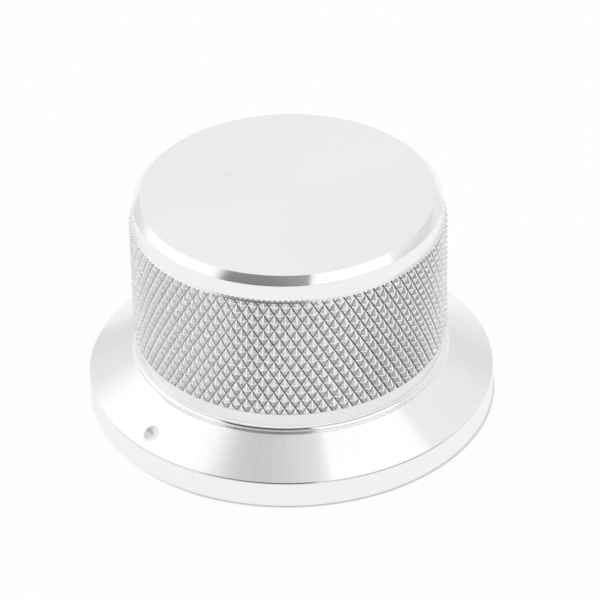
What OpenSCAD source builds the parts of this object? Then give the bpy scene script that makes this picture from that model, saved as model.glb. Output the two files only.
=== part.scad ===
// Turned aluminium knob for a potentiometer: a knurled barrel on a wide conical
// skirt, with a blind shaft bore and a recess for the potentiometer's nut below,
// and one socket set screw across the barrel.
// The knob stands on its rim: Z is the axis of the shaft, the origin is at the
// middle of the underside, and the pointer dimple faces -Y.

/* [Skirt] */
// Outer diameter of the skirt
skirt_d = 44; // [38:0.5:60]
// Height of the upright rim, up to where the cone starts
rim_h = 3; // [1.5:0.1:4]
// Rise of the cone from the rim to the foot of the barrel
cone_rise = 2.9; // [1.5:0.1:4.5]
// Width of the flat ledge between the cone and the fillet of the barrel
ledge_w = 0.15; // [0.15:0.05:0.5]
// Size of the small breaks on the turned edges
edge_break = 0.1; // [0.05:0.01:0.12]

/* [Barrel] */
// Height of the whole knob
knob_h = 25; // [22:0.5:40]
// Diameter of the plain bands above and below the knurl
barrel_d = 33; // [28:0.5:36]
// Size of the chamfer round the top face
top_chamfer = 0.8; // [0.3:0.1:1.5]
// Height of the plain band above the knurl
upper_band_h = 2; // [0.8:0.1:4]
// Height of the plain band below the knurl
lower_band_h = 1.5; // [0.6:0.05:3]
// Radius of the fillet between the lower band and the ledge
foot_fillet = 0.5; // [0.3:0.05:0.8]

/* [Knurl] */
// Number of diamonds round the barrel
knurl_count = 91; // [60:1:110]
// Angle of the knurl's grooves to the axis
knurl_angle = 30.5; // [25:0.5:40]
// Depth of the grooves between the diamonds
knurl_depth = 0.35; // [0.2:0.05:0.5]
// Height of the bottom of the grooves above the plain bands
knurl_lift = 0.15; // [0.1:0.05:0.4]
// Height above the lower band at which the grooves first cross
first_crossing = 1; // [0.5:0.1:1.5]

/* [Pointer] */
// Diameter of the dimple where it meets the cone
dimple_d = 1.8; // [1:0.1:2.4]
// Included angle of the dimple's drill point
dimple_angle = 120; // [100:5:150]
// Distance from the knob's axis to the dimple
dimple_reach = 20.4; // [18.6:0.1:20.6]

/* [Shaft] */
// Diameter of the potentiometer's shaft
shaft_d = 6; // [4:0.05:8]
// Gap between the shaft and the bore's wall
shaft_clearance = 0.02; // [0.01:0.005:0.05]
// Length of the bore, from the recess to where the drill point starts
bore_length = 13; // [8:0.5:14]
// Included angle of the drill point at the end of the bore
drill_angle = 118; // [90:1:140]
// Diameter of the recess for the potentiometer's nut
recess_d = 16; // [14:0.5:24]
// Depth of that recess
recess_h = 5; // [2:0.1:6]
// Size of the lead-in chamfer at the mouth of the bore
lead_in = 0.4; // [0.2:0.1:0.8]

/* [Set screw] */
// Outer diameter of the set screw
screw_d = 3; // [2:0.1:4]
// Length of the set screw
screw_length = 6; // [4:0.5:8]
// Width of its hexagon socket across the flats
socket_w = 1.5; // [0.9:0.1:2]
// Depth of the hexagon socket
socket_depth = 2; // [1:0.1:2.5]
// Depth of the cup at the screw's inner end
cup_depth = 0.5; // [0.2:0.05:0.8]
// Gap all round the screw in its hole
screw_clearance = 0.05; // [0.02:0.01:0.1]
// Height of the screw above the floor of the recess
screw_rise = 6.5; // [3:0.5:8]
// Distance that the screw is backed off from the bore
screw_backoff = 0.3; // [0.1:0.1:2]

/* [Hidden] */
$fn = 96;
skirt_r = skirt_d / 2;
barrel_r = barrel_d / 2;
ledge_z = rim_h + cone_rise;
ledge_r = barrel_r + foot_fillet + ledge_w;
cone_slope = atan2(cone_rise, skirt_r - ledge_r);
band_foot_z = ledge_z + foot_fillet;
// Where the knurled collar meets the plain bands
knurl_low_z = band_foot_z + lower_band_h;
knurl_high_z = knob_h - top_chamfer - upper_band_h;
root_r = barrel_r + knurl_lift;
tip_r = root_r + knurl_depth;
// The collar that the knurl is cut into stands a little proud of the diamonds. It
// has a 45 degree bevel below and a square shoulder above.
collar_r = tip_r + 0.05;
diamond_w = 2 * PI * (root_r + tip_r) / 2 / knurl_count;
row_h = diamond_w / tan(knurl_angle) / 2;
column_count = 2 * knurl_count;
// Overshoot that keeps cuts clear of the faces they open
over = 1;
// The rows of the knurl run on past the collar at both ends
rows_below = floor(first_crossing / row_h) + 1;
first_row_z = knurl_low_z + first_crossing - rows_below * row_h;
row_count = floor((knurl_high_z - first_row_z) / row_h) + 1;
bore_r = shaft_d / 2 + shaft_clearance;
bore_end_z = recess_h + bore_length;
screw_z = recess_h + screw_rise;
screw_start = bore_r + screw_backoff;
hole_r = screw_d / 2 + screw_clearance;
screw_chamfer = 0.12 * screw_d;

// Points on an arc about a centre, from one angle to another
function arc(centre, radius, from, to, steps) =
    [for (i = [0:steps]) centre + radius * arm(from + (to - from) * i / steps)];
function arm(angle) = [cos(angle), sin(angle)];

// Outline of the turned blank, from the axis out and up
function blank_outline() = concat(
    [[0, 0], [skirt_r - edge_break, 0], [skirt_r, edge_break]],
    [[skirt_r, rim_h - edge_break]],
    [[skirt_r, rim_h] + edge_break * arm(180 - cone_slope)],
    [[ledge_r, ledge_z] + edge_break * arm(-cone_slope)],
    [[ledge_r - edge_break, ledge_z]],
    arc([barrel_r, ledge_z] + foot_fillet * [1, 1], foot_fillet, -90, -180, 8),
    [[barrel_r, knurl_low_z], [collar_r, knurl_low_z + collar_r - barrel_r]],
    [[collar_r, knurl_high_z], [barrel_r, knurl_high_z]],
    [[barrel_r, knob_h - top_chamfer], [barrel_r - top_chamfer, knob_h], [0, knob_h]]
);

module blank() {
    rotate_extrude() polygon(blank_outline());
}

// The grid of the knurl has a column every half diamond. Diamonds' tips and the
// crossings of the grooves take turns along each row and each column.
function is_tip(column, row) = (column + row + rows_below) % 2 == 1;
function on_column(column, r, z) =
    let (angle = 360 * column / column_count)
    [r * cos(angle), r * sin(angle), z];

// All that the knurling takes off: a ring whose inner face is the diamonds. Its
// levels run from the lower outer edge, up the rows, to the upper outer edge.
module knurl_cut() {
    outer_r = collar_r + over;
    last_row_z = first_row_z + row_count * row_h;
    columns = [0:column_count - 1];
    levels = row_count + 3;
    points = concat(
        [for (c = columns) on_column(c, outer_r, first_row_z)],
        [for (row = [0:row_count]) for (c = columns)
            on_column(c, is_tip(c, row) ? tip_r : root_r, first_row_z + row * row_h)],
        [for (c = columns) on_column(c, outer_r, last_row_z)]
    );
    faces = [for (level = [0:levels - 1]) for (c = columns)
        let (
            right = (c + 1) % column_count,
            above = (level + 1) % levels,
            low_left = level * column_count + c,
            low_right = level * column_count + right,
            high_left = above * column_count + c,
            high_right = above * column_count + right,
            in_rows = level > 0 && level <= row_count
        )
        // Each cell of the rows folds along the groove that crosses it
        each !in_rows ? [[low_left, low_right, high_right, high_left]]
            : is_tip(c, level - 1)
            ? [[low_left, low_right, high_left], [high_left, low_right, high_right]]
            : [[low_left, high_right, high_left], [low_left, low_right, high_right]]
    ];
    polyhedron(points, faces);
}

// A drill-point dimple, sunk square to the cone
module pointer_dimple() {
    surface_z = rim_h + (skirt_r - dimple_reach) * tan(cone_slope);
    point_h = dimple_d / 2 / tan(dimple_angle / 2);
    translate([0, -dimple_reach, surface_z])
        rotate([cone_slope, 0, 0])
            translate([0, 0, -point_h])
                cylinder(h = 2 * point_h, r1 = 0, r2 = dimple_d);
}

// Nut recess, bore and drill point, all cut from below
module shaft_hole() {
    point_h = bore_r / tan(drill_angle / 2);
    translate([0, 0, -over])
        cylinder(h = recess_h + over, d = recess_d);
    cylinder(h = bore_end_z, r = bore_r);
    translate([0, 0, recess_h])
        cylinder(h = lead_in, r1 = bore_r + lead_in, r2 = bore_r);
    translate([0, 0, bore_end_z])
        cylinder(h = point_h, r1 = bore_r, r2 = 0);
}

// Lays a shape that stands on Z along the screw's line, towards +Y
module along_screw(reach) {
    translate([0, reach, screw_z]) rotate([-90, 0, 0]) children();
}

module screw_hole() {
    along_screw(0) cylinder(h = tip_r + over, r = hole_r);
}

module knob() {
    color("gainsboro")
    difference() {
        blank();
        knurl_cut();
        shaft_hole();
        screw_hole();
        pointer_dimple();
    }
}

// Headless screw with a hexagon socket outside and a cup point against the shaft
module set_screw() {
    color("dimgray")
    along_screw(screw_start)
    difference() {
        rotate_extrude() polygon([
            [0, 0], [screw_d / 2 - screw_chamfer, 0], [screw_d / 2, screw_chamfer],
            [screw_d / 2, screw_length - screw_chamfer],
            [screw_d / 2 - screw_chamfer, screw_length], [0, screw_length]
        ]);
        translate([0, 0, screw_length - socket_depth])
            cylinder(h = socket_depth + over, d = socket_w / cos(30), $fn = 6);
        translate([0, 0, -over])
            cylinder(h = over + cup_depth, r1 = cup_depth + over, r2 = 0);
    }
}

knob();
set_screw();
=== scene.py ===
import math

import bmesh
import bpy
from mathutils import Matrix, Vector


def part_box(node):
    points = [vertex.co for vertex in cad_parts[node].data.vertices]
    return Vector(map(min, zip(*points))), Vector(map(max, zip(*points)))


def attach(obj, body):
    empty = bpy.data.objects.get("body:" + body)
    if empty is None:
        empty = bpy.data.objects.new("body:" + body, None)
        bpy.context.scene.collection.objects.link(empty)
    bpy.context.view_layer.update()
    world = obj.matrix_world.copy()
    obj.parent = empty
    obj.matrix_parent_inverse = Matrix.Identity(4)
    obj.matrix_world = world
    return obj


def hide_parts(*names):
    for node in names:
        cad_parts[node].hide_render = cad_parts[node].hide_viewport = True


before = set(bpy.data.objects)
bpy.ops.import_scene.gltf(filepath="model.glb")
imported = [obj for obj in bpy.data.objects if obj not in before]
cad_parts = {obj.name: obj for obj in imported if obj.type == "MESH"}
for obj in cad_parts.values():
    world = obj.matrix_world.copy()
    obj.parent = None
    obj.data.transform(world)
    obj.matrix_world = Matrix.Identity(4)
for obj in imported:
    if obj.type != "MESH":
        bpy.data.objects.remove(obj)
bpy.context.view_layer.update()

mm = 0.001
turn = 2 * math.pi

# The photograph's view: the azimuth is how far round the knob the camera stands from the pointer
# dimple. Angles are in degrees and lengths in metres, but for the lens and its sensor.
photoView = {
    "azimuth": 47.3,
    "distance": 0.34969,
    "height": 0.251821,
    "pitch": 34.538,
    "yaw": 0.178,
    "roll": -1.197,
    "lens": 236.265,
    "sensor": 36,
    "clip": (0.01, 20),
}


def makeCamera(view):
    yaw, pitch, roll = (math.radians(view[key]) for key in ("yaw", "pitch", "roll"))
    ahead = Vector((math.sin(yaw) * math.cos(pitch), math.cos(yaw) * math.cos(pitch), -math.sin(pitch)))
    right = Vector((math.cos(yaw), -math.sin(yaw), 0))
    up = right.cross(ahead)
    rolledRight = math.cos(roll) * right + math.sin(roll) * up
    rolledUp = math.cos(roll) * up - math.sin(roll) * right
    facing = Matrix((rolledRight, rolledUp, -ahead)).transposed().to_4x4()
    place = Matrix.Translation((0, -view["distance"], view["height"]))
    data = bpy.data.cameras.new("photoCamera")
    data.sensor_width = view["sensor"]
    data.lens = view["lens"]
    data.clip_start, data.clip_end = view["clip"]
    camera = bpy.data.objects.new("photoCamera", data)
    camera.matrix_world = Matrix.Rotation(math.radians(view["azimuth"]), 4, "Z") @ place @ facing
    bpy.context.scene.collection.objects.link(camera)
    bpy.context.scene.camera = camera


# Node helpers
def addNode(tree, kind, **settings):
    node = tree.nodes.new(kind)
    for key, value in settings.items():
        setattr(node, key, value)
    return node


def feed(tree, socket, value):
    if isinstance(value, bpy.types.NodeSocket):
        tree.links.new(value, socket)
    else:
        socket.default_value = value


def mathNode(tree, operation, *values, clamp=False):
    node = addNode(tree, "ShaderNodeMath", operation=operation, use_clamp=clamp)
    for socket, value in zip(node.inputs, values):
        feed(tree, socket, value)
    return node.outputs[0]


def smoothStep(tree, value, low, high, fromValue=0.0, toValue=1.0):
    node = addNode(tree, "ShaderNodeMapRange", interpolation_type="SMOOTHSTEP")
    for key, given in (("Value", value), ("From Min", low), ("From Max", high),
                       ("To Min", fromValue), ("To Max", toValue)):
        feed(tree, node.inputs[key], given)
    return node.outputs["Result"]


def mixValue(tree, share, first, second):
    node = addNode(tree, "ShaderNodeMix", data_type="FLOAT")
    feed(tree, node.inputs[0], share)
    feed(tree, node.inputs[2], first)
    feed(tree, node.inputs[3], second)
    return node.outputs[0]


def swung(tree, value, swing, middle):
    # Turns what swings about one half into a swing about another middle
    return mathNode(tree, "MULTIPLY_ADD", mathNode(tree, "SUBTRACT", value, 0.5), swing, middle)


def noiseValue(tree, dimensions, scale, detail, **places):
    node = addNode(tree, "ShaderNodeTexNoise", noise_dimensions=dimensions)
    for key, value in (("Scale", scale), ("Detail", detail), *places.items()):
        feed(tree, node.inputs[key], value)
    return node.outputs[0]


def outwardFrom(tree, coordinates):
    # The direction straight out from the knob's axis
    flat = addNode(tree, "ShaderNodeVectorMath", operation="MULTIPLY")
    tree.links.new(coordinates, flat.inputs[0])
    flat.inputs[1].default_value = (1, 1, 0)
    outward = addNode(tree, "ShaderNodeVectorMath", operation="NORMALIZE")
    tree.links.new(flat.outputs[0], outward.inputs[0])
    return outward.outputs[0]


def photoAxes(tree, coordinates):
    # Turned to the photograph's view: X runs to its right and Y away from its camera
    turned = addNode(tree, "ShaderNodeVectorRotate", rotation_type="Z_AXIS")
    tree.links.new(coordinates, turned.inputs["Vector"])
    turned.inputs["Angle"].default_value = -math.radians(photoView["azimuth"])
    parts = addNode(tree, "ShaderNodeSeparateXYZ")
    tree.links.new(turned.outputs[0], parts.inputs[0])
    return parts.outputs


def mixShader(tree, share, first, second):
    node = addNode(tree, "ShaderNodeMixShader")
    for socket, given in zip(node.inputs, (share, first, second)):
        tree.links.new(given, socket)
    return node.outputs[0]


def showSurface(tree, shader, kind="ShaderNodeOutputMaterial"):
    output = addNode(tree, kind)
    tree.links.new(shader, output.inputs["Surface"])


def newMaterial(name):
    material = bpy.data.materials.new(name)
    material.use_nodes = True
    material.node_tree.nodes.clear()
    return material, material.node_tree


def addMetal(tree, tone, roughness, normal=None):
    # Bare metal of a grey tone
    colour = addNode(tree, "ShaderNodeCombineColor")
    for socket in colour.inputs[:3]:
        tree.links.new(tone, socket)
    metal = addNode(tree, "ShaderNodeBsdfPrincipled")
    metal.inputs["Metallic"].default_value = 1
    tree.links.new(colour.outputs[0], metal.inputs["Base Color"])
    tree.links.new(roughness, metal.inputs["Roughness"])
    if normal is not None:
        tree.links.new(normal, metal.inputs["Normal"])
    showSurface(tree, metal.outputs[0])
    return metal


# The studio: two white panels overhead with a dark gap between them that runs down in front, and
# pale walls low down. Edges are lines on a plane one unit above the knob, with x to the photograph's
# right and y away from the camera; turns and reaches are where one tone gives way to the next.
studio = {
    "panelLight": 1.1,
    "gapLight": 0.26,
    "gapLightFar": 0.71,
    "gapRise": (-0.42, -0.06),
    "gapLiftRight": 0.35,
    "gapLiftReach": (-0.25, 0.15),
    "gapLeft": (-0.341, 0.976),
    "gapRight": (0.1524, -0.1252),
    "gapLeftSoftness": 0.15,
    "gapRightSoftness": 0.02,
    "sideTurn": (-0.4, 0.4),
    "leftPanelEnd": (0.70, -0.176),
    "leftFade": (0.0, 1.2, 5.0),
    "leftShade": 0.85,
    "leftShadeFar": 0.78,
    "rightPanelEnd": (0.571, -0.484),
    "rightEdge": (-0.02, 0.02),
    "rightShade": 0.90,
    "rightDip": 0.14,
    "dipStart": (1.2, 2.0),
    "dipEnd": (2.4, 4.0),
    "leftPanelFront": (-1.0, -0.2),
    "rightPanelFront": (-1.0, -0.4),
    "frontEdge": (-0.15, 0.25),
    "frontLight": 0.05,
    "frontSides": 0.8,
    "lowFrontLeft": 0.75,
    "lowFrontMiddle": 0.7,
    "lowFrontRight": 0.48,
    "lowLeftTurn": (-0.55, -0.2),
    "lowRightTurn": (0.2, 0.55),
    "lowBackLeft": 0.77,
    "lowBackRight": 0.86,
    "lowBackTurn": (-0.3, 0.3),
    "lowTurn": (-0.5, 0.3),
    "lowRise": (0.27, 0.42),
    "lowDrop": 0.18,
    "leastRise": 0.03,
}


def line(tree, offsetAndSlope, along):
    offset, slope = offsetAndSlope
    return mathNode(tree, "MULTIPLY_ADD", along, slope, offset)


def gapMask(tree, values, across, away):
    left, right = values["gapLeftSoftness"], values["gapRightSoftness"]
    fromLeft = mathNode(tree, "SUBTRACT", across, line(tree, values["gapLeft"], away))
    fromRight = mathNode(tree, "SUBTRACT", line(tree, values["gapRight"], away), across)
    return mathNode(tree, "MULTIPLY", smoothStep(tree, fromLeft, -left, left),
                    smoothStep(tree, fromRight, -right, right))


def gapTone(tree, values, across, away):
    light = smoothStep(tree, away, *values["gapRise"], values["gapLight"], values["gapLightFar"])
    lift = smoothStep(tree, across, *values["gapLiftReach"], 1.0, 1.0 + values["gapLiftRight"])
    return mathNode(tree, "MULTIPLY", light, lift)


def panelTone(tree, values, isRight, across, away):
    fadeStart, fadeEnd, farEnd = values["leftFade"]
    pastLeft = mathNode(tree, "SUBTRACT", away, line(tree, values["leftPanelEnd"], across))
    nearLeft = smoothStep(tree, pastLeft, fadeStart, fadeEnd, values["panelLight"], values["leftShade"])
    leftSide = mixValue(tree, smoothStep(tree, pastLeft, fadeEnd, farEnd), nearLeft, values["leftShadeFar"])
    pastRight = mathNode(tree, "SUBTRACT", away, line(tree, values["rightPanelEnd"], across))
    dip = mathNode(tree, "MULTIPLY", smoothStep(tree, across, *values["dipStart"]),
                   smoothStep(tree, across, *values["dipEnd"], values["rightDip"], 0.0))
    shade = mathNode(tree, "SUBTRACT", values["rightShade"], dip)
    rightSide = mixValue(tree, smoothStep(tree, pastRight, *values["rightEdge"]), values["panelLight"], shade)
    return mixValue(tree, isRight, leftSide, rightSide)


def lowWallTone(tree, values, toRight, toBack):
    left = smoothStep(tree, toRight, *values["lowLeftTurn"], values["lowFrontLeft"], values["lowFrontMiddle"])
    front = mixValue(tree, smoothStep(tree, toRight, *values["lowRightTurn"]), left, values["lowFrontRight"])
    back = mixValue(tree, smoothStep(tree, toRight, *values["lowBackTurn"]),
                    values["lowBackLeft"], values["lowBackRight"])
    return mixValue(tree, toBack, front, back)


def makeStudio(values):
    world = bpy.data.worlds.new("studioLight")
    world.use_nodes = True
    bpy.context.scene.world = world
    tree = world.node_tree
    tree.nodes.clear()
    towards = photoAxes(tree, addNode(tree, "ShaderNodeTexCoord").outputs["Generated"])
    rise = mathNode(tree, "MAXIMUM", towards["Z"], values["leastRise"])
    across = mathNode(tree, "DIVIDE", towards["X"], rise)
    away = mathNode(tree, "DIVIDE", towards["Y"], rise)
    isRight = smoothStep(tree, across, *values["sideTurn"])
    inGap = gapMask(tree, values, across, away)
    overhead = mixValue(tree, inGap, panelTone(tree, values, isRight, across, away),
                        gapTone(tree, values, across, away))
    nearEdge = mixValue(tree, isRight, line(tree, values["leftPanelFront"], across),
                        line(tree, values["rightPanelFront"], across))
    inFront = smoothStep(tree, mathNode(tree, "SUBTRACT", nearEdge, away), *values["frontEdge"])
    front = mixValue(tree, inGap, values["frontSides"], values["frontLight"])
    room = mixValue(tree, inFront, overhead, front)
    toBack = smoothStep(tree, towards["Y"], *values["lowTurn"])
    low = lowWallTone(tree, values, towards["X"], toBack)
    lift = mathNode(tree, "MULTIPLY_ADD", toBack, values["lowDrop"], towards["Z"])
    light = mixValue(tree, smoothStep(tree, lift, *values["lowRise"]), low, room)
    lit = addNode(tree, "ShaderNodeBackground")
    tree.links.new(light, lit.inputs["Color"])
    white = addNode(tree, "ShaderNodeBackground")
    white.inputs["Color"].default_value = (1, 1, 1, 1)
    seen = addNode(tree, "ShaderNodeLightPath").outputs["Is Camera Ray"]
    showSurface(tree, mixShader(tree, seen, lit.outputs[0], white.outputs[0]), "ShaderNodeOutputWorld")


floorValues = {
    "reach": 3.0,
    "drop": 0.01 * mm,
    "paleness": 0.92,
    "glow": 0.96,
    "contactReach": 0.35 * mm,
    "contactSamples": 8,
    "contactEdge": (0.35, 0.95),
    "contactTone": 0.5,
    "contactFade": (-20 * mm, -8 * mm),
    "paperEnd": (-160 * mm, -110 * mm),
    "pastPaper": 0.42,
    "pastPaperLeft": 0.75,
    "pastPaperTurn": (-12 * mm, 4 * mm),
}


def makeFloorFinish(values):
    material, tree = newMaterial("paleFloor")
    paper = addNode(tree, "ShaderNodeBsdfDiffuse")
    paper.inputs["Color"].default_value = (values["paleness"],) * 3 + (1,)
    glow = addNode(tree, "ShaderNodeEmission")
    glow.inputs["Color"].default_value = (1, 1, 1, 1)
    # The thin shadow where the rim meets the floor
    contact = addNode(tree, "ShaderNodeAmbientOcclusion", samples=values["contactSamples"])
    contact.inputs["Distance"].default_value = values["contactReach"]
    place = photoAxes(tree, addNode(tree, "ShaderNodeTexCoord").outputs["Object"])
    darkest = smoothStep(tree, place["X"], *values["contactFade"], 1.0, values["contactTone"])
    shadow = smoothStep(tree, contact.outputs["AO"], *values["contactEdge"], darkest, 1.0)
    # The sheet ends in front of the knob, as its reflections show
    beyond = smoothStep(tree, place["X"], *values["pastPaperTurn"], values["pastPaperLeft"],
                        values["pastPaper"])
    sheet = smoothStep(tree, place["Y"], *values["paperEnd"], beyond, 1.0)
    seen = addNode(tree, "ShaderNodeLightPath").outputs
    mirrored = mixValue(tree, seen["Is Glossy Ray"], 1.0, sheet)
    tree.links.new(mathNode(tree, "MULTIPLY", shadow, mirrored), glow.inputs["Strength"])
    either = mathNode(tree, "MAXIMUM", seen["Is Camera Ray"], seen["Is Glossy Ray"])
    shown = mathNode(tree, "MAXIMUM", either, seen["Is Transmission Ray"])
    share = mathNode(tree, "MULTIPLY", shown, values["glow"])
    above = mixShader(tree, share, paper.outputs[0], glow.outputs[0])
    # Clear from below, for views of the underside
    below = addNode(tree, "ShaderNodeBsdfTransparent").outputs[0]
    fromBelow = addNode(tree, "ShaderNodeNewGeometry").outputs["Backfacing"]
    showSurface(tree, mixShader(tree, fromBelow, above, below))
    return material


def makeFloor(values):
    reach, low = values["reach"], -values["drop"]
    mesh = bpy.data.meshes.new("floor")
    corners = [(-reach, -reach, low), (reach, -reach, low), (reach, reach, low), (-reach, reach, low)]
    mesh.from_pydata(corners, [], [(0, 1, 2, 3)])
    mesh.materials.append(makeFloorFinish(values))
    floor = bpy.data.objects.new("floor", mesh)
    bpy.context.scene.collection.objects.link(floor)


# Shader groups
def newGroup(name, inputs, outputs, kind="ShaderNodeTree"):
    group = bpy.data.node_groups.new(name, kind)
    for title, socketKind, value in inputs:
        socket = group.interface.new_socket(name=title, in_out="INPUT", socket_type=socketKind)
        if value is not None:
            socket.default_value = value
    for title, socketKind in outputs:
        group.interface.new_socket(name=title, in_out="OUTPUT", socket_type=socketKind)
    return group, addNode(group, "NodeGroupInput"), addNode(group, "NodeGroupOutput")


def placeGroup(tree, group, **values):
    node = addNode(tree, "ShaderNodeGroup", node_tree=group)
    for key, value in values.items():
        feed(tree, node.inputs[key], value)
    return node.outputs


markValues = {
    "radiusShare": 2.0,
    "broadSize": 1400.0,
    "spokeSize": 45.0,
    "smearSize": 160.0,
    "speckEdge": (0.12, 0.3),
    "speckSize": 1300.0,
    "speckAmount": 0.003,
    "speckTone": -0.1,
    "smearRoughness": 0.08,
    "ringDepth": 0.05,
    "grainTurn": 0.25,
}


def makeTurningMarks():
    group, given, result = newGroup(
        "turningMarks",
        [("Pitch", "NodeSocketFloat", 0.06 * mm), ("Depth", "NodeSocketFloat", 0.2 * mm),
         ("Strength", "NodeSocketFloat", 0.1)],
        [("Tone", "NodeSocketFloat"), ("Spokes", "NodeSocketFloat"), ("Normal", "NodeSocketVector")],
    )
    coordinates = addNode(group, "ShaderNodeTexCoord").outputs["Object"]
    parts = addNode(group, "ShaderNodeSeparateXYZ")
    group.links.new(coordinates, parts.inputs[0])
    squares = [mathNode(group, "MULTIPLY", parts.outputs[axis], parts.outputs[axis]) for axis in "XY"]
    radius = mathNode(group, "SQRT", mathNode(group, "ADD", *squares))
    # Runs on across every turned face, because radius and height count differently
    along = mathNode(group, "MULTIPLY_ADD", radius, markValues["radiusShare"], parts.outputs["Z"])
    inPitches = mathNode(group, "DIVIDE", along, given.outputs["Pitch"])
    fine = noiseValue(group, "1D", scale=1, detail=2, W=inPitches)
    inBands = mathNode(group, "MULTIPLY", along, markValues["broadSize"])
    broad = noiseValue(group, "1D", scale=1, detail=3, W=inBands)
    bump = addNode(group, "ShaderNodeBump")
    group.links.new(given.outputs["Strength"], bump.inputs["Strength"])
    group.links.new(given.outputs["Depth"], bump.inputs["Distance"])
    group.links.new(fine, bump.inputs["Height"])
    # Faint spokes where the tool chattered, the same all along a radius
    chatter = noiseValue(group, "3D", markValues["spokeSize"], detail=3,
                         Vector=outwardFrom(group, coordinates))
    group.links.new(broad, result.inputs["Tone"])
    group.links.new(chatter, result.inputs["Spokes"])
    group.links.new(bump.outputs[0], result.inputs["Normal"])
    return group


def makeHandlingMarksAndGlints():
    group, given, result = newGroup(
        "handlingMarksAndGlints",
        [("Size", "NodeSocketFloat", 900.0), ("Amount", "NodeSocketFloat", 0.02)],
        [("Specks", "NodeSocketFloat"), ("Smears", "NodeSocketFloat")],
    )
    coordinates = addNode(group, "ShaderNodeTexCoord").outputs["Object"]
    spots = addNode(group, "ShaderNodeTexVoronoi", feature="F1")
    group.links.new(coordinates, spots.inputs["Vector"])
    group.links.new(given.outputs["Size"], spots.inputs["Scale"])
    picked = addNode(group, "ShaderNodeSeparateColor")
    group.links.new(spots.outputs["Color"], picked.inputs[0])
    rare = mathNode(group, "LESS_THAN", picked.outputs[0], given.outputs["Amount"])
    dot = smoothStep(group, spots.outputs["Distance"], *markValues["speckEdge"], 1.0, 0.0)
    group.links.new(mathNode(group, "MULTIPLY", rare, dot), result.inputs["Specks"])
    smears = noiseValue(group, "3D", markValues["smearSize"], detail=4, Vector=coordinates)
    group.links.new(smears, result.inputs["Smears"])
    return group


# Turned aluminium, one finish for each cut of the tool
finishes = {
    "topFace": {"tone": 0.92, "roughness": 0.22, "grain": 0.6, "pitch": 0.07,
                "rings": 0.10, "spread": 0.02, "spokes": 0.03},
    "chamfer": {"tone": 0.92, "roughness": 0.13, "grain": 0.6, "pitch": 0.05,
                "rings": 0.04, "spread": 0.03, "spokes": 0.05},
    "band": {"tone": 0.92, "roughness": 0.22, "grain": 0.7, "pitch": 0.06,
             "rings": 0.08, "spread": 0.03, "spokes": 0.05},
    "cone": {"tone": 0.92, "roughness": 0.16, "grain": 0.8, "pitch": 0.06,
             "rings": 0.06, "spread": 0.02, "spokes": 0.07},
    "rim": {"tone": 0.92, "roughness": 0.24, "grain": 0.7, "pitch": 0.06,
            "rings": 0.08, "spread": 0.02, "spokes": 0.03},
    "neck": {"tone": 0.92, "roughness": 0.07, "grain": 0.5, "pitch": 0.05,
             "rings": 0.05, "spread": 0.03, "spokes": 0.06},
    # The dimple's tone is raised above the rest as painted light, to lighten the pit
    "dimple": {"tone": 1.0, "roughness": 0.48, "grain": 0.0, "pitch": 0.05,
               "rings": 0.04, "spread": 0.03, "spokes": 0.0},
    "hidden": {"tone": 0.90, "roughness": 0.34, "grain": 0.6, "pitch": 0.12,
               "rings": 0.2, "spread": 0.05, "spokes": 0.03},
}


def makeFinish(name, values, turningMarks, handlingMarksAndGlints):
    material, tree = newMaterial(name)
    marks = placeGroup(tree, turningMarks, Pitch=values["pitch"] * mm, Depth=markValues["ringDepth"] * mm,
                       Strength=values["rings"])
    worn = placeGroup(tree, handlingMarksAndGlints, Size=markValues["speckSize"], Amount=markValues["speckAmount"])
    shift = swung(tree, marks["Tone"], values["spread"], 1.0)
    specked = mathNode(tree, "MULTIPLY_ADD", worn["Specks"], markValues["speckTone"], shift)
    spoked = swung(tree, marks["Spokes"], values["spokes"], specked)
    tone = mathNode(tree, "MULTIPLY", spoked, values["tone"], clamp=True)
    roughness = swung(tree, worn["Smears"], markValues["smearRoughness"], values["roughness"])
    metal = addMetal(tree, tone, roughness, marks["Normal"])
    if values["grain"]:
        metal.inputs["Anisotropic"].default_value = values["grain"]
        metal.inputs["Anisotropic Rotation"].default_value = markValues["grainTurn"]
        around = addNode(tree, "ShaderNodeTangent", direction_type="RADIAL", axis="Z")
        tree.links.new(around.outputs[0], metal.inputs["Tangent"])
    return material


# Pairs of tones change from the photograph's left to its right, where the sine of the turn from its
# view passes a reach; the reaches of the grooves and ridges are in millimetres
# Painted light and shade on the knurl: the ridges are lighter as painted highlights, and the facets, grooves
# and level ridges change tone from the left of the view to its right as painted shade
knurlLook = {
    "fallingFacet": 0.77,
    "risingFacet": 0.68,
    "ridgeHighlightTone": 0.95,
    "levelRidgeHighlight": (0.74, 0.88),
    "fallingGroove": (0.5, 0.16),
    "risingGroove": (0.36, 0.64),
    "worn": (0.6, 0.0),
    "wornEnd": (-0.99, -0.86),
    "paintedSideShade": -0.27,
    "viewRightTurn": 47.3,
    "viewSideReach": (-0.66, -0.16),
    "fallingReach": (0.02, 0.09),
    "fallingWidth": (1.0, 2.1),
    "wideGroove": 0.5,
    "softGroove": 0.85,
    "wideReach": (0.25, 0.9),
    "risingReach": (0.01, 0.07),
    "ridgeReach": (0.03, 0.08),
    "uprightFade": (-0.1, 0.0),
    "ridgeFlat": 0.65,
    "roughness": 0.2,
    "smearRoughness": 0.12,
    "fleckSpread": 1.25,
    "fleckSize": 5200.0,
    "fleckRise": 0.012,
    "fleckStrength": 0.6,
    "glintSize": 1500.0,
    "glintAmount": 0.22,
    "glintTone": 0.4,
}


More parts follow.
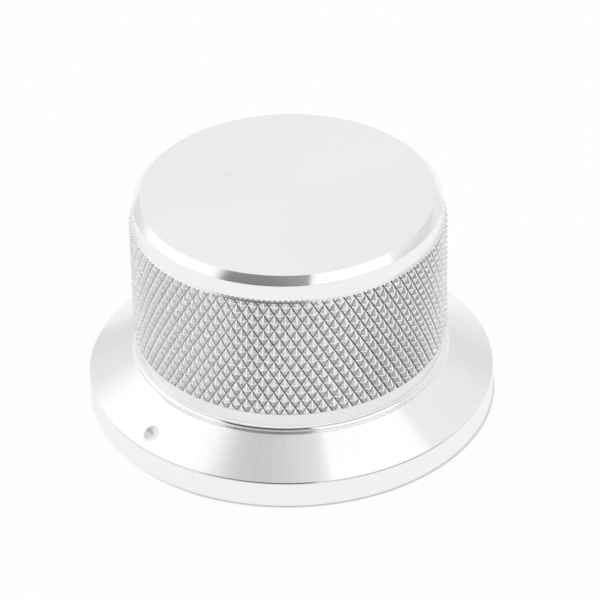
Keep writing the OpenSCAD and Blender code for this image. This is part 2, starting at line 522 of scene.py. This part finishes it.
def knurlPlace(tree, coordinates):
    # Distances in millimetres to the nearest groove of each hand and to a diamond's upright
    # ridge, and the height above its level ridge
    parts = addNode(tree, "ShaderNodeSeparateXYZ")
    tree.links.new(coordinates, parts.inputs[0])
    height = mathNode(tree, "SUBTRACT", mathNode(tree, "DIVIDE", parts.outputs["Z"], mm), knurl["rowZero"])
    turned = mathNode(tree, "SUBTRACT", mathNode(tree, "ARCTAN2", parts.outputs["Y"], parts.outputs["X"]),
                      mathNode(tree, "MULTIPLY_ADD", height, knurl["leanTurn"], knurl["turnAtZero"]))
    across = mathNode(tree, "DIVIDE", turned, 2 * knurl["halfAngle"])
    up = mathNode(tree, "DIVIDE", height, 2 * knurl["rowHeight"])
    pitch = knurl["width"] * math.cos(math.radians(knurl["angle"]))
    counted, toGroove = [], []
    for along in (mathNode(tree, "ADD", across, up), mathNode(tree, "SUBTRACT", across, up)):
        share = mathNode(tree, "SUBTRACT", mathNode(tree, "FRACT", mathNode(tree, "ADD", along, 0.5)), 0.5)
        counted.append(share)
        toGroove.append(mathNode(tree, "MULTIPLY_ADD", mathNode(tree, "ABSOLUTE", share), -pitch, pitch / 2))
    toUpright = mathNode(tree, "MULTIPLY", mathNode(tree, "ABSOLUTE", mathNode(tree, "ADD", *counted)),
                         knurl["width"] / 2)
    rise = mathNode(tree, "MULTIPLY", mathNode(tree, "SUBTRACT", *counted), knurl["rowHeight"])
    return *toGroove, toUpright, rise


def knurlGrooves(tree, values, side, toFalling, toRising):
    # The grooves are darkened, partly as dirt and partly as painted shade, and their tone and width change
    # from the left of the view to its right as painted shade
    fallingTone, risingTone = (
        smoothStep(tree, side, *values["viewSideReach"], *values[key])
        for key in ("fallingGroove", "risingGroove"))
    widening = smoothStep(tree, side, *values["wideReach"])
    width = mixValue(tree, widening, *values["fallingWidth"])
    wideTone = mixValue(tree, widening, fallingTone, values["wideGroove"])
    softTone = mixValue(tree, widening, risingTone, values["softGroove"])
    inFalling = smoothStep(tree, mathNode(tree, "DIVIDE", toFalling, width), *values["fallingReach"],
                           wideTone, 1.0)
    inRising = smoothStep(tree, toRising, *values["risingReach"], softTone, 1.0)
    return mathNode(tree, "MINIMUM", inFalling, inRising)


def knurlNormal(tree, values, flecks, outward, flatness):
    # Worn metal faces straight out, like the round that the knurl was cut from
    worn = addNode(tree, "ShaderNodeMix", data_type="VECTOR")
    tree.links.new(flatness, worn.inputs[0])
    tree.links.new(addNode(tree, "ShaderNodeNewGeometry").outputs["Normal"], worn.inputs[4])
    tree.links.new(outward, worn.inputs[5])
    bump = addNode(tree, "ShaderNodeBump")
    bump.inputs["Strength"].default_value = values["fleckStrength"]
    bump.inputs["Distance"].default_value = values["fleckRise"] * mm
    tree.links.new(flecks, bump.inputs["Height"])
    tree.links.new(worn.outputs[1], bump.inputs["Normal"])
    return bump.outputs[0]


def makeKnurlFinish(values, handlingMarksAndGlints):
    material, tree = newMaterial("knurl")
    coordinates = addNode(tree, "ShaderNodeTexCoord").outputs["Object"]
    toFalling, toRising, toUpright, rise = knurlPlace(tree, coordinates)
    # The knob stands unturned at the origin, so this direction serves as a normal too
    outward = outwardFrom(tree, coordinates)
    sideways = math.radians(values["viewRightTurn"])
    facing = addNode(tree, "ShaderNodeVectorMath", operation="DOT_PRODUCT")
    tree.links.new(outward, facing.inputs[0])
    facing.inputs[1].default_value = (math.cos(sideways), math.sin(sideways), 0)
    side = facing.outputs["Value"]
    # On the left of the view the facets are worn flatter and painted darker, the darkening being painted
    # shade, and less so towards the barrel's very edge
    sideWearAndShade = mathNode(tree, "MULTIPLY", smoothStep(tree, side, *values["viewSideReach"], *values["worn"]),
                    smoothStep(tree, side, *values["wornEnd"]))
    onUpright = mathNode(tree, "MULTIPLY", smoothStep(tree, toUpright, *values["ridgeReach"], 1.0, 0.0),
                         smoothStep(tree, rise, *values["uprightFade"]))
    onLevel = smoothStep(tree, mathNode(tree, "ABSOLUTE", rise), *values["ridgeReach"], 1.0, 0.0)
    # Facets beside the rising grooves take a darker tone than those beside the falling grooves
    nearRising = mathNode(tree, "LESS_THAN", toRising, toFalling)
    facet = mixValue(tree, nearRising, values["fallingFacet"], values["risingFacet"])
    # Painted shade: facets darker on the left of the view
    sideShaded = mathNode(tree, "MULTIPLY", facet, mathNode(tree, "MULTIPLY_ADD", sideWearAndShade, values["paintedSideShade"], 1.0))
    # Torn flecks of the rolled metal
    flecks = noiseValue(tree, "3D", values["fleckSize"], detail=2, Vector=coordinates)
    flecked = mathNode(tree, "MULTIPLY", swung(tree, flecks, values["fleckSpread"], 1.0), sideShaded)
    # Painted highlights: lighter tones on the upright ridges, above each diamond's level ridge only, and on
    # the level ridges, more so towards the right of the view
    levelRidgeHighlight = smoothStep(tree, side, *values["viewSideReach"], *values["levelRidgeHighlight"])
    plain = mixValue(tree, onUpright, mixValue(tree, onLevel, flecked, levelRidgeHighlight), values["ridgeHighlightTone"])
    # Painted glints: bright specks added to the tone as painted highlights
    marks = placeGroup(tree, handlingMarksAndGlints, Size=values["glintSize"], Amount=values["glintAmount"])
    glinting = mathNode(tree, "MULTIPLY_ADD", marks["Specks"], values["glintTone"], plain)
    # Grooves darkened partly as dirt and partly as painted shade
    grooveDirtAndShade = knurlGrooves(tree, values, side, toFalling, toRising)
    tone = mathNode(tree, "MULTIPLY", glinting, grooveDirtAndShade, clamp=True)
    roughness = swung(tree, marks["Smears"], values["smearRoughness"], values["roughness"])
    ridgeWear = mathNode(tree, "MULTIPLY", onUpright, values["ridgeFlat"])
    flatness = mathNode(tree, "MAXIMUM", ridgeWear, sideWearAndShade)
    addMetal(tree, tone, roughness, knurlNormal(tree, values, flecks, outward, flatness))
    return material


# The knob's own sizes, in millimetres
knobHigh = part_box("knob")[1] / mm
knob = {
    "skirtRadius": knobHigh.x,
    "height": knobHigh.z,
    "rimHeight": 3.0,
    "ledgeRadius": 17.15,
    "ledgeHeight": 5.9,
    "edgeBreak": 0.1,
    "barrelRadius": 16.5,
    "chamfer": 0.8,
    "footFillet": 0.5,
    "filletSteps": 16,
    "knurlLow": 7.9,
    "knurlHigh": 22.2,
    "recessRadius": 8.0,
    "recessHeight": 5.0,
    "boreRadius": 3.02,
    "boreEnd": 18.0,
    "leadIn": 0.4,
    "drillAngle": 118.0,
    "softEdge": 0.05,
    "columns": 364,
    "sharpAngle": 35,
}
knob["coneSlope"] = math.atan2(knob["ledgeHeight"] - knob["rimHeight"],
                               knob["skirtRadius"] - knob["ledgeRadius"])
knurl = {
    "diamonds": 91,
    "angle": 30.5,
    "phase": -1.37,
    "lean": 0.1,
    "rootRadius": 16.65,
    "depth": 0.35,
    "collar": 0.05,
    "firstCrossing": 1.0,
    "trench": 0.05,
    "trenchShare": 0.1,
    "uprightRidge": 0.15,
    "levelRidge": 0.12,
    "ridgeShare": 0.6,
    "capShare": 0.16,
    "tipRounding": 0.45,
    "lowTipDraw": 0.2,
    "weld": 0.004,
    "wobble": 0.02,
    "wobbleSize": 1500,
    "seed": 7,
    "cutterWidth": 1.0,
    "sharpAngle": 10,
}
knurl["collarRadius"] = knurl["rootRadius"] + knurl["depth"] + knurl["collar"]
knurl["halfAngle"] = turn / 2 / knurl["diamonds"]
knurl["width"] = 2 * knurl["halfAngle"] * (knurl["rootRadius"] + knurl["depth"] / 2)
knurl["rowHeight"] = knurl["width"] / 2 / math.tan(math.radians(knurl["angle"]))
# Odd rows stand half a diamond on, and one of them holds the first crossing
knurl["rowZero"] = knob["knurlLow"] + knurl["firstCrossing"] - knurl["rowHeight"]
knurl["lowRow"] = math.floor((knob["knurlLow"] - knurl["rowZero"]) / knurl["rowHeight"])
knurl["highRow"] = math.ceil((knob["knurlHigh"] - knurl["rowZero"]) / knurl["rowHeight"])
# The columns of diamonds lean a little, by this turn for each millimetre of height
knurl["leanTurn"] = math.radians(knurl["lean"])
knurl["turnAtZero"] = math.radians(knurl["phase"]) + knurl["leanTurn"] * (
    knurl["rowZero"] - (knob["knurlLow"] + knob["knurlHigh"]) / 2)


def softened(corners, radius, steps=3):
    # Rounds each inner corner of an outline of (r, z, finish) with a small arc
    sideShare, leastBend, leastReach = 0.45, 0.2, 0.002
    points = [corners[0]]
    for before, corner, after in zip(corners, corners[1:], corners[2:]):
        here = Vector(corner[:2])
        back, on = Vector(before[:2]) - here, Vector(after[:2]) - here
        opening = back.angle(on)
        reach = min(radius / math.tan(opening / 2), back.length * sideShare, on.length * sideShare)
        if math.pi - opening < leastBend or reach < leastReach:
            points.append(corner)
            continue
        start, end = here + back.normalized() * reach, here + on.normalized() * reach
        for step in range(steps + 1):
            share = step / steps
            bent = start.lerp(here, share).lerp(here.lerp(end, share), share)
            finish = before[2] if step < steps / 2 else corner[2]
            points.append((bent.x, bent.y, finish))
    points.append(corners[-1])
    return points


def knobOutline():
    barrel, top, cut = knob["barrelRadius"], knob["height"], knob["chamfer"]
    skirt, ledge, foot = knob["skirtRadius"], knob["ledgeRadius"], knob["ledgeHeight"]
    collar, low, high = knurl["collarRadius"], knob["knurlLow"], knob["knurlHigh"]
    rim, small, fillet, steps = knob["rimHeight"], knob["edgeBreak"], knob["footFillet"], knob["filletSteps"]
    bore, boreEnd, leadIn = knob["boreRadius"], knob["boreEnd"], knob["leadIn"]
    recess, ceiling = knob["recessRadius"], knob["recessHeight"]
    aside, down = small * math.cos(knob["coneSlope"]), small * math.sin(knob["coneSlope"])
    bend = [math.radians(180 + 90 * step / steps) for step in range(steps + 1)]
    pointHeight = bore / math.tan(math.radians(knob["drillAngle"] / 2))
    return [
        (0, top, "topFace"), (barrel - cut, top, "chamfer"), (barrel, top - cut, "band"),
        (barrel, high, "chamfer"), (collar, high, "knurl"),
        (collar, low + (collar - barrel), "chamfer"), (barrel, low, "band"),
        *[(barrel + fillet + fillet * math.cos(angle), foot + fillet + fillet * math.sin(angle), "neck")
          for angle in bend],
        (ledge - small, foot, "neck"), (ledge + aside, foot - down, "cone"),
        (skirt - aside, rim + down, "chamfer"), (skirt, rim - small, "rim"), (skirt, small, "rim"),
        (skirt - small, 0, "hidden"), (recess, 0, "hidden"), (recess, ceiling, "hidden"),
        (bore + leadIn, ceiling, "hidden"), (bore, ceiling + leadIn, "hidden"),
        (bore, boreEnd, "hidden"), (0, boreEnd + pointHeight, "hidden"),
    ]


def latheMesh(name, outline, columns, finishNames):
    points, faces, finish = [], [], []
    rings = []
    for r, z, _ in outline:
        rings.append(len(points))
        angles = [0] if r == 0 else [turn * column / columns for column in range(columns)]
        points += [(r * math.cos(a) * mm, r * math.sin(a) * mm, z * mm) for a in angles]
    for index, (r, _, look) in enumerate(outline[:-1]):
        first, second = rings[index], rings[index + 1]
        closing = outline[index + 1][0] == 0
        for column in range(columns):
            beside = (column + 1) % columns
            if r == 0:
                faces.append((first, second + column, second + beside))
            elif closing:
                faces.append((first + column, second, first + beside))
            else:
                faces.append((first + column, second + column, second + beside, first + beside))
            finish.append(finishNames.index(look))
    mesh = bpy.data.meshes.new(name)
    mesh.from_pydata(points, [], faces)
    mesh.polygons.foreach_set("material_index", finish)
    return mesh


# One diamond of the knurl, built round azimuth 0 and height 0
def onDiamond(u, v, share):
    # u and v count from the tip to the diamond's side and end corners
    radius = knurl["rootRadius"] + share
    angle = u * knurl["halfAngle"] + v * knurl["rowHeight"] * knurl["leanTurn"]
    return (radius * math.cos(angle) * mm, radius * math.sin(angle) * mm, v * knurl["rowHeight"] * mm)


def eightCorners(size):
    # A diamond outline with each corner cut square to its ridge
    upright = min(knurl["uprightRidge"], size * knurl["ridgeShare"]) / 2
    level = min(knurl["levelRidge"], size * knurl["ridgeShare"]) / 2
    side, end = size - level, size - upright
    return [(side, -level), (side, level), (upright, end), (-upright, end),
            (-side, level), (-side, -level), (-upright, -end), (upright, -end)]


def diamondMesh():
    depth = knurl["depth"]
    points = [onDiamond(u, v, -knurl["trench"]) for u, v in ((1, 0), (0, 1), (-1, 0), (0, -1))]
    for size in (1 - knurl["trenchShare"], knurl["capShare"]):
        points += [onDiamond(u, v, depth * (1 - size)) for u, v in eightCorners(size)]
    points.append(onDiamond(0, 0, depth * (1 - knurl["capShare"] * knurl["tipRounding"])))
    outer, inner, tip = 4, 12, 20
    faces = []
    for corner in range(4):
        low, high = outer + 2 * corner, outer + 2 * corner + 1
        onward = outer + (2 * corner + 2) % 8
        faces.append((corner, high, low))
        faces.append((corner, (corner + 1) % 4, onward, high))
    for step in range(8):
        beside = (step + 1) % 8
        faces.append((outer + step, outer + beside, inner + beside, inner + step))
        faces.append((inner + step, inner + beside, tip))
    mesh = bpy.data.meshes.new("knurlDiamond")
    mesh.from_pydata(points, [], faces)
    return mesh


def latticePlaces(tree, given):
    # Each diamond's height as a point, and its turn about the axis
    total = mathNode(tree, "MULTIPLY", given["Diamonds round"], given["Rows"])
    points = addNode(tree, "GeometryNodePoints")
    tree.links.new(total, points.inputs["Count"])
    number = addNode(tree, "GeometryNodeInputIndex").outputs[0]
    column = mathNode(tree, "FLOORED_MODULO", number, given["Diamonds round"])
    rowStep = mathNode(tree, "FLOOR", mathNode(tree, "DIVIDE", number, given["Diamonds round"]))
    row = mathNode(tree, "ADD", rowStep, given["First row"])
    height = mathNode(tree, "MULTIPLY_ADD", row, given["Row height"], given["Base height"])
    place = addNode(tree, "ShaderNodeCombineXYZ")
    tree.links.new(height, place.inputs["Z"])
    tree.links.new(place.outputs[0], points.inputs["Position"])
    offset = mathNode(tree, "MULTIPLY_ADD", mathNode(tree, "FLOORED_MODULO", row, 2.0), 0.5, column)
    around = mathNode(tree, "DIVIDE", mathNode(tree, "MULTIPLY", offset, turn), given["Diamonds round"])
    lean = mathNode(tree, "MULTIPLY_ADD", row, given["Turn each row"], given["First turn"])
    facing = addNode(tree, "ShaderNodeCombineXYZ")
    tree.links.new(mathNode(tree, "ADD", around, lean), facing.inputs["Z"])
    return points.outputs[0], facing.outputs[0]


def unevenly(tree, given, geometry):
    # Small unevenness of the rolled metal, square to the axis
    spot = addNode(tree, "GeometryNodeInputPosition").outputs[0]
    noise = noiseValue(tree, "4D", knurl["wobbleSize"], detail=1, Vector=spot, W=given["Seed"])
    push = addNode(tree, "ShaderNodeVectorMath", operation="SCALE")
    tree.links.new(outwardFrom(tree, spot), push.inputs[0])
    tree.links.new(mathNode(tree, "MULTIPLY", mathNode(tree, "SUBTRACT", noise, 0.5), given["Wobble"]),
                   push.inputs["Scale"])
    moved = addNode(tree, "GeometryNodeSetPosition")
    tree.links.new(geometry, moved.inputs["Geometry"])
    tree.links.new(push.outputs[0], moved.inputs["Offset"])
    return moved.outputs[0]


def makeLatticeTree():
    # Lays copies of one diamond round the axis in rows, every other row half a diamond on
    tree, given, result = newGroup("knurlLattice", [
        ("Diamond", "NodeSocketObject", None), ("Diamonds round", "NodeSocketInt", knurl["diamonds"]),
        ("Rows", "NodeSocketInt", 1), ("First row", "NodeSocketInt", 0),
        ("Base height", "NodeSocketFloat", 0.0), ("Row height", "NodeSocketFloat", 1 * mm),
        ("First turn", "NodeSocketFloat", 0.0), ("Turn each row", "NodeSocketFloat", 0.0),
        ("Wobble", "NodeSocketFloat", 0.0), ("Seed", "NodeSocketInt", knurl["seed"]),
        ("Finish", "NodeSocketMaterial", None),
    ], [("Geometry", "NodeSocketGeometry")], "GeometryNodeTree")
    given = given.outputs
    points, facing = latticePlaces(tree, given)
    diamond = addNode(tree, "GeometryNodeObjectInfo")
    tree.links.new(given["Diamond"], diamond.inputs["Object"])
    copies = addNode(tree, "GeometryNodeInstanceOnPoints")
    tree.links.new(points, copies.inputs["Points"])
    tree.links.new(diamond.outputs["Geometry"], copies.inputs["Instance"])
    tree.links.new(facing, copies.inputs["Rotation"])
    real = addNode(tree, "GeometryNodeRealizeInstances")
    tree.links.new(copies.outputs[0], real.inputs[0])
    welded = addNode(tree, "GeometryNodeMergeByDistance")
    tree.links.new(real.outputs[0], welded.inputs["Geometry"])
    welded.inputs["Distance"].default_value = knurl["weld"] * mm
    painted = addNode(tree, "GeometryNodeSetMaterial")
    tree.links.new(unevenly(tree, given, welded.outputs[0]), painted.inputs["Geometry"])
    tree.links.new(given["Finish"], painted.inputs["Material"])
    tree.links.new(painted.outputs[0], result.inputs[0])
    return tree


def linked(name, mesh):
    thing = bpy.data.objects.new(name, mesh)
    bpy.context.scene.collection.objects.link(thing)
    return thing


def settled(thing):
    # The object's mesh with its modifiers worked in
    bpy.context.view_layer.update()
    shown = thing.evaluated_get(bpy.context.evaluated_depsgraph_get())
    return bpy.data.meshes.new_from_object(shown, preserve_all_data_layers=True,
                                           depsgraph=bpy.context.evaluated_depsgraph_get())


def growKnurl(tree, diamond, finish):
    holder = linked("knurlRows", bpy.data.meshes.new("knurlRows"))
    source = linked("knurlTile", diamond)
    lattice = holder.modifiers.new("knurlLattice", "NODES")
    lattice.node_group = tree
    sockets = {item.name: item.identifier for item in tree.interface.items_tree if item.in_out == "INPUT"}
    values = {
        "Diamond": source, "Diamonds round": knurl["diamonds"],
        "Rows": knurl["highRow"] - knurl["lowRow"] + 1, "First row": knurl["lowRow"],
        "Base height": knurl["rowZero"] * mm, "Row height": knurl["rowHeight"] * mm,
        "First turn": knurl["turnAtZero"], "Turn each row": knurl["leanTurn"] * knurl["rowHeight"],
        "Wobble": knurl["wobble"] * mm, "Seed": knurl["seed"], "Finish": finish,
    }
    for title, value in values.items():
        lattice[sockets[title]] = value
    grown = settled(holder)
    bpy.data.objects.remove(holder)
    bpy.data.objects.remove(source)
    return grown


def knurlCutter(material):
    # All that the knurling takes off the collar: a ring whose inner face is the diamonds
    mesh = growKnurl(makeLatticeTree(), diamondMesh(), material)
    work = bmesh.new()
    work.from_mesh(mesh)
    # The lowest tips are drawn up, clear of the fillet
    lowest = (knurl["rowZero"] + knurl["lowRow"] * knurl["rowHeight"]) * mm
    for vert in work.verts:
        if vert.co.z < lowest:
            vert.co.z = lowest - (lowest - vert.co.z) * knurl["lowTipDraw"]
    ends = [edge for edge in work.edges if len(edge.link_faces) == 1]
    grown = bmesh.ops.extrude_edge_only(work, edges=ends)["geom"]
    outerRadius = (knurl["collarRadius"] + knurl["cutterWidth"]) * mm
    for vert in (item for item in grown if isinstance(item, bmesh.types.BMVert)):
        flat = Vector((vert.co.x, vert.co.y, 0)).normalized() * outerRadius
        vert.co = (flat.x, flat.y, vert.co.z)
    rims = [item for item in grown if isinstance(item, bmesh.types.BMEdge) and len(item.link_faces) == 1]
    bmesh.ops.bridge_loops(work, edges=rims)
    bmesh.ops.recalc_face_normals(work, faces=work.faces)
    print("knurl cutter: faces", len(work.faces),
          "open edges", sum(len(edge.link_faces) != 2 for edge in work.edges))
    work.to_mesh(mesh)
    work.free()
    mesh.materials.clear()
    mesh.materials.append(material)
    mesh.polygons.foreach_set("material_index", [0] * len(mesh.polygons))
    return linked("knurlCutter", mesh)


def cutAway(thing, tools, solver):
    for tool in tools:
        cut = thing.modifiers.new("cut", "BOOLEAN")
        cut.operation = "DIFFERENCE"
        cut.solver = solver
        cut.object = tool
        cut.material_mode = "TRANSFER"
    mesh = settled(thing)
    thing.modifiers.clear()
    old = thing.data
    thing.data = mesh
    bpy.data.meshes.remove(old)
    for tool in tools:
        bpy.data.objects.remove(tool)


def shadeByAngle(mesh, degrees, finerSlots=(), finerDegrees=0):
    # Edges of faces in the finer slots stay sharp from a smaller angle on
    work = bmesh.new()
    work.from_mesh(mesh)
    for face in work.faces:
        face.smooth = True
    for edge in work.edges:
        finer = any(face.material_index in finerSlots for face in edge.link_faces)
        limit = math.radians(finerDegrees if finer else degrees)
        edge.smooth = len(edge.link_faces) == 2 and edge.calc_face_angle(0) < limit
    work.to_mesh(mesh)
    work.free()


holeValues = {"radius": 1.55, "height": 11.5, "pastBarrel": 2.0, "columns": 48}
dimpleValues = {
    "radius": 0.9,
    "angle": 120.0,
    "reach": 20.4,
    "columns": 64,
    "rings": (2, 1.5, 1, 0.8, 0.6, 0.4, 0.2, 0.08, 0),
}


def holeCutter(values, material):
    work = bmesh.new()
    length = knob["barrelRadius"] + values["pastBarrel"]
    bmesh.ops.create_cone(work, cap_ends=True, segments=values["columns"], radius1=values["radius"] * mm,
                          radius2=values["radius"] * mm, depth=length * mm)
    bmesh.ops.rotate(work, verts=work.verts, matrix=Matrix.Rotation(-math.pi / 2, 3, "X"))
    bmesh.ops.translate(work, verts=work.verts, vec=Vector((0, length / 2, values["height"])) * mm)
    mesh = bpy.data.meshes.new("holeCutter")
    work.to_mesh(mesh)
    work.free()
    mesh.materials.append(material)
    return linked("holeCutter", mesh)


def dimpleCutter(values, material):
    # A drill point sunk square to the cone of the skirt
    radius, depth = values["radius"], values["radius"] / math.tan(math.radians(values["angle"] / 2))
    slope = knob["coneSlope"]
    height = knob["rimHeight"] + (knob["skirtRadius"] - values["reach"]) * math.tan(slope)
    outline = [(0, depth, "dimple")]
    outline += [(share * radius, (share - 1) * depth, "dimple") for share in values["rings"]]
    mesh = latheMesh("dimpleCutter", outline, values["columns"], ["dimple"])
    place = Matrix.Translation(Vector((0, -values["reach"], height)) * mm)
    mesh.transform(place @ Matrix.Rotation(slope, 4, "X"))
    mesh.materials.append(material)
    return linked("dimpleCutter", mesh)


def makeKnob(materials):
    names = list(materials)
    outline = softened(knobOutline(), knob["softEdge"])
    piece = linked("knob_turned", latheMesh("knobBody", outline, knob["columns"], names))
    for name in names:
        piece.data.materials.append(materials[name])
    cutAway(piece, [
        knurlCutter(materials["knurl"]), holeCutter(holeValues, materials["hidden"]),
        dimpleCutter(dimpleValues, materials["dimple"]),
    ], "MANIFOLD")
    finer = [names.index("knurl"), names.index("dimple")]
    shadeByAngle(piece.data, knob["sharpAngle"], finer, knurl["sharpAngle"])
    even = piece.modifiers.new("even", "WEIGHTED_NORMAL")
    even.keep_sharp = True
    finished = settled(piece)
    piece.modifiers.clear()
    piece.data = finished
    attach(piece, "root")
    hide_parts("knob")
    print("knob: triangles", sum(len(p.vertices) - 2 for p in finished.polygons), "faces of each finish",
          {name: sum(p.material_index == index for p in finished.polygons)
           for index, name in enumerate(names)})


screw = {
    "radius": 1.49,
    "length": 6.0,
    "start": 3.32,
    "height": 11.5,
    "pitch": 0.5,
    "threadDepth": 0.27,
    "flankRise": 1.25,
    "flankStart": 0.125,
    "endChamfer": 0.36,
    "socketWidth": 1.5,
    "socketDepth": 2.0,
    "drillDepth": 0.4,
    "drillTip": 0.02,
    "drillOverlap": 0.01,
    "mouthDepth": 0.15,
    "mouthReach": 0.25,
    "cupDepth": 0.5,
    "cupTip": 0.01,
    "clear": 1.0,
    "drillSides": 24,
    "toolSides": 32,
    "columns": 48,
    "rowsPerTurn": 10,
    "sharpAngle": 35,
}
screwLook = {
    "tone": 0.09,
    "toneSwing": 0.05,
    "speckSize": 2500.0,
    "speckAmount": 0.05,
    "speckTone": 0.2,
    "roughness": 0.38,
    "roughnessSwing": 0.2,
}


def makeScrewFinish(values, handlingMarksAndGlints):
    material, tree = newMaterial("blackOxide")
    worn = placeGroup(tree, handlingMarksAndGlints, Size=values["speckSize"], Amount=values["speckAmount"])
    tone = swung(tree, worn["Smears"], values["toneSwing"], values["tone"])
    bright = mathNode(tree, "MULTIPLY_ADD", worn["Specks"], values["speckTone"], tone)
    addMetal(tree, bright, swung(tree, worn["Smears"], values["roughnessSwing"], values["roughness"]))
    return material


def threadedRod(values):
    # A rod along Z whose surface is cut by a right-handed thread between two chamfered ends
    rowCount = round(values["length"] / values["pitch"] * values["rowsPerTurn"])
    columns = values["columns"]
    points, faces = [], []
    for row in range(rowCount + 1):
        height = values["length"] * row / rowCount
        fromEnd = min(height, values["length"] - height)
        ceiling = min(values["radius"], values["radius"] - values["endChamfer"] + fromEnd)
        for column in range(columns):
            phase = (height / values["pitch"] - column / columns) % 1
            # Straight flanks between flats at the crest and at the root
            flank = values["flankRise"] * abs(2 * phase - 1) - values["flankStart"]
            thread = values["radius"] - values["threadDepth"] * min(1, max(0, flank))
            r = min(ceiling, thread)
            angle = turn * column / columns
            points.append((r * math.cos(angle) * mm, r * math.sin(angle) * mm, height * mm))
    for row in range(rowCount):
        for column in range(columns):
            low, beside = row * columns + column, row * columns + (column + 1) % columns
            faces.append((low, beside, beside + columns, low + columns))
    faces.append(tuple(reversed(range(columns))))
    faces.append(tuple(range(rowCount * columns, (rowCount + 1) * columns)))
    mesh = bpy.data.meshes.new("rod")
    mesh.from_pydata(points, [], faces)
    return mesh


def coneTool(name, segments, low, high, fromHeight, toHeight):
    work = bmesh.new()
    bmesh.ops.create_cone(work, cap_ends=True, segments=segments, radius1=low * mm, radius2=high * mm,
                          depth=(toHeight - fromHeight) * mm)
    bmesh.ops.translate(work, verts=work.verts, vec=(0, 0, (toHeight + fromHeight) / 2 * mm))
    mesh = bpy.data.meshes.new(name)
    work.to_mesh(mesh)
    work.free()
    return linked(name, mesh)


def makeSetScrew(values, material):
    piece = linked("set_screw_threaded", threadedRod(values))
    piece.data.materials.append(material)
    top, clear = values["length"], values["clear"]
    socketEnd, mouth = top - values["socketDepth"], values["mouthReach"]
    across = values["socketWidth"] / 2 / math.cos(math.pi / 6)
    cutAway(piece, [
        coneTool("socket", 6, across, across, socketEnd, top + clear),
        coneTool("drillPoint", values["drillSides"], values["drillTip"], values["socketWidth"] / 2,
                 socketEnd - values["drillDepth"], socketEnd + values["drillOverlap"]),
        coneTool("mouth", values["toolSides"], across - values["mouthDepth"], across + mouth,
                 top - values["mouthDepth"], top + mouth),
        coneTool("cup", values["toolSides"], values["cupDepth"] + clear, values["cupTip"], -clear,
                 values["cupDepth"]),
    ], "MANIFOLD")
    place = Matrix.Translation(Vector((0, values["start"], values["height"])) * mm)
    piece.data.transform(place @ Matrix.Rotation(-math.pi / 2, 4, "X"))
    shadeByAngle(piece.data, values["sharpAngle"])
    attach(piece, "root")
    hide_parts("set_screw")
    print("set screw: triangles", sum(len(p.vertices) - 2 for p in piece.data.polygons))


print("camera and studio")
makeCamera(photoView)
makeStudio(studio)
makeFloor(floorValues)
bpy.context.scene.view_settings.view_transform = "Standard"

print("finishes")
turningMarks = makeTurningMarks()
handlingMarksAndGlints = makeHandlingMarksAndGlints()
finishMaterials = {
    name: makeFinish(name, values, turningMarks, handlingMarksAndGlints)
    for name, values in finishes.items()
}
finishMaterials["knurl"] = makeKnurlFinish(knurlLook, handlingMarksAndGlints)

print("knob")
makeKnob(finishMaterials)
print("set screw")
makeSetScrew(screw, makeScrewFinish(screwLook, handlingMarksAndGlints))

print("done")
